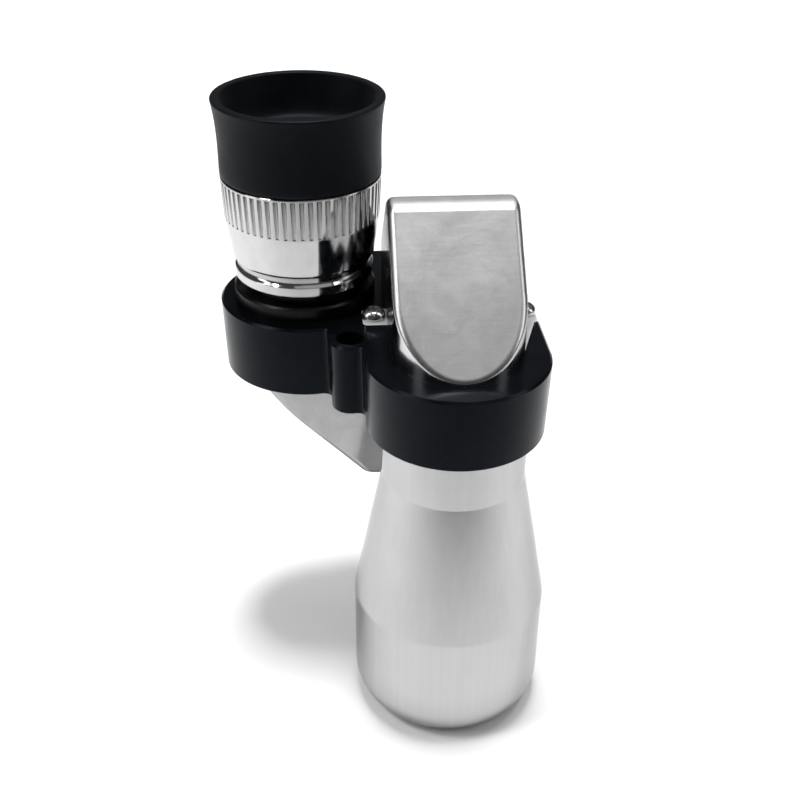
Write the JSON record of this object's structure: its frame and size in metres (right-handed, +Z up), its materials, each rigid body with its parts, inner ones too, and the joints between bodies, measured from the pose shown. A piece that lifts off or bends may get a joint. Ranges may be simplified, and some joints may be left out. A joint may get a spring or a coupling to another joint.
{
  "type": "monocular",
  "caption": "Pocket monocular: turned barrel, black frame with a roofed prism cover above and below, and a screw-focusing chrome eyepiece with a rubber cup beside the barrel axis.",
  "frame": {"origin": "centre of the open front rim, on the objective axis", "axes": "+Z up the barrel to the eyepiece, +Y to the back of the frame, +X to the right, so that the eyepiece stands to the left and behind the barrel"},
  "size_m": [0.0492, 0.051, 0.0935],
  "materials": {
    "black_gloss_paint": "gloss black stove enamel on a die casting",
    "cover_aluminium": "satin, rubbed edges",
    "barrel_aluminium": "fine turned, satin",
    "mirror_chrome": "bright chrome plate",
    "plated_screw": "plated steel",
    "eyecup_rubber": "matte moulded rubber",
    "seal_rubber": "matte",
    "collar_black": "satin black",
    "black_anodised": "matte black anodised",
    "spring_steel": "spring steel strip",
    "coated_lens": "polished, coated",
    "prism_glass": "ground sides, polished faces"
  },
  "bodies": {
    "housing": {"body_frame": "black_gloss_paint", "top_prism_cover": "cover_aluminium", "bottom_prism_cover": "cover_aluminium", "top_cover_screws": "plated_screw", "bottom_cover_screws": "plated_screw", "top_prism": "prism_glass", "bottom_prism": "prism_glass", "top_light_shield": "black_anodised", "bottom_light_shield": "black_anodised", "top_prism_spring": "spring_steel", "bottom_prism_spring": "spring_steel", "objective_barrel": "barrel_aluminium", "barrel_seal_ring": "seal_rubber", "barrel_baffle": "black_anodised", "objective_crown_lens": "coated_lens", "objective_flint_lens": "coated_lens", "objective_lock_ring": "black_anodised", "eyepiece_neck": "collar_black", "focus_guide_screw": "plated_screw", "focus_seal_ring": "seal_rubber"},
    "eyepiece_core": {"lens_tube": "black_anodised", "field_stop": "black_anodised", "field_lens_spacer": "black_anodised", "field_lens": "coated_lens", "eye_lens_spacer": "black_anodised", "eye_crown_lens": "coated_lens", "eye_flint_lens": "coated_lens", "eye_lens_lock_ring": "black_anodised"},
    "focus_grip": {"focus_ring": "mirror_chrome", "focus_ring_clip": "spring_steel", "rubber_eyecup": "eyecup_rubber"}
  },
  "joints": [
    {"name": "eyepiece_slide", "type": "slide", "parent": "housing", "child": "eyepiece_core", "axis": [0, 0, 1], "range_m": [-0.00121, 0.00301]},
    {"name": "focus_turn", "type": "hinge", "parent": "eyepiece_core", "child": "focus_grip", "pos_m": [-0.02125, 0.02125, 0.0775], "axis": [0, 0, 1], "range_deg": [-108, 270]}
  ],
  "couplings": [
    {"joint": "eyepiece_slide", "follows": "focus_turn", "m_per_rad": 0.00063662}
  ]
}
